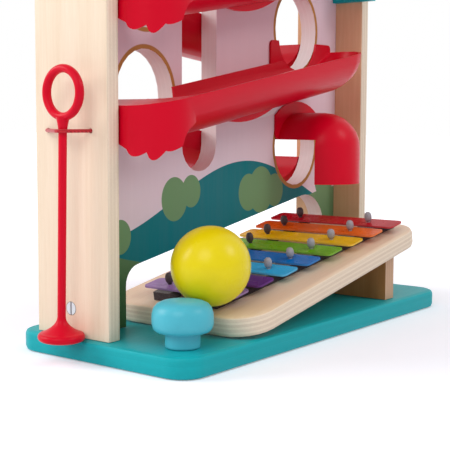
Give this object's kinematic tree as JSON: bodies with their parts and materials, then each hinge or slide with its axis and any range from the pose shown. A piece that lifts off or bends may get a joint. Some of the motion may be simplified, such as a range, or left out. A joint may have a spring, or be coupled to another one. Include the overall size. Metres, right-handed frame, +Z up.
{
  "type": "ball pounding bench",
  "caption": "Wooden ball pounding tower: balls knocked through a deck roll along zigzag tracks, drop from a hood and ring a sloping xylophone.",
  "frame": {"origin": "centre of the base board's underside", "axes": "+Z up, X along the bench, -Y towards the front where the tracks and keys face"},
  "size_m": [0.3276, 0.1434, 0.3159],
  "materials": {
    "beech": "satin",
    "blue_enamel": "gloss",
    "dark_felt": "felt",
    "green_enamel": "gloss",
    "green_paint": "gloss",
    "grey_caps": "matte",
    "light_blue_enamel": "gloss",
    "lilac_enamel": "gloss",
    "orange_enamel": "gloss",
    "pale_teal_paint": "gloss",
    "plywood": "satin",
    "printed_plywood": "satin",
    "purple_enamel": "gloss",
    "red_elastic": "woven",
    "red_enamel": "gloss",
    "red_paint": "gloss",
    "red_plastic": "gloss",
    "ring_rubber": "matte",
    "steel": "satin",
    "teal_paint": "satin",
    "yellow_enamel": "gloss",
    "yellow_paint": "gloss"
  },
  "bodies": {
    "tower": {"back_key_rail": "dark_felt", "base_board": "teal_paint", "base_bolt_left": "steel", "base_bolt_right": "steel", "blue_key": "blue_enamel", "blue_pin_back": "grey_caps", "blue_pin_front": "grey_caps", "center_panel": "printed_plywood", "chute_hood": "red_plastic", "deck_bolt_left": "steel", "deck_bolt_right": "steel", "deck_ring_center": "ring_rubber", "deck_ring_left": "ring_rubber", "deck_ring_right": "ring_rubber", "front_key_rail": "dark_felt", "green_key": "green_enamel", "green_pin_back": "grey_caps", "green_pin_front": "grey_caps", "hammer_cord": "red_elastic", "lane_end_board": "teal_paint", "left_side_panel": "plywood", "light_blue_key": "light_blue_enamel", "light_blue_pin_back": "grey_caps", "light_blue_pin_front": "grey_caps", "lilac_key": "lilac_enamel", "lilac_pin_back": "grey_caps", "lilac_pin_front": "grey_caps", "lower_front_track": "red_plastic", "lower_left_barrel_nut": "steel", "lower_rear_track": "red_plastic", "lower_right_barrel_nut": "steel", "mallet_cord": "red_elastic", "orange_key": "orange_enamel", "orange_pin_back": "grey_caps", "orange_pin_front": "grey_caps", "pounding_deck": "teal_paint", "purple_key": "purple_enamel", "purple_pin_back": "grey_caps", "purple_pin_front": "grey_caps", "red_key": "red_enamel", "red_pin_back": "grey_caps", "red_pin_front": "grey_caps", "right_side_panel": "plywood", "stop_mushroom": "pale_teal_paint", "upper_front_track": "red_plastic", "upper_left_barrel_nut": "steel", "upper_rear_track": "red_plastic", "upper_right_barrel_nut": "steel", "xylophone_board": "plywood", "xylophone_support": "plywood", "yellow_key": "yellow_enamel", "yellow_pin_back": "grey_caps", "yellow_pin_front": "grey_caps"},
    "mallet": {"mallet": "red_plastic"},
    "hammer": {"hammer_head": "beech", "hammer_handle": "beech"},
    "yellow_ball": {"ball_yellow": "yellow_paint"},
    "red_ball": {"ball_red": "red_paint"},
    "green_ball": {"ball_green": "green_paint"}
  },
  "joints": [
    {"name": "mallet_lift", "type": "slide", "parent": "tower", "child": "mallet", "axis": [0, -0.0245, 0.9997], "range_m": [0, 0.09]},
    {"name": "hammer_lift", "type": "slide", "parent": "tower", "child": "hammer", "axis": [0, 0, 1], "range_m": [0, 0.12]},
    {"name": "yellow_ball_lift", "type": "slide", "parent": "tower", "child": "yellow_ball", "axis": [0, -0.6, 0.8], "range_m": [0, 0.08]},
    {"name": "red_ball_drop", "type": "slide", "parent": "tower", "child": "red_ball", "axis": [0, 0, -1], "range_m": [0, 0.075], "deforming": ["deck_ring_left"]},
    {"name": "green_ball_drop", "type": "slide", "parent": "tower", "child": "green_ball", "axis": [0, 0, -1], "range_m": [0, 0.0525], "deforming": ["deck_ring_right"]}
  ]
}
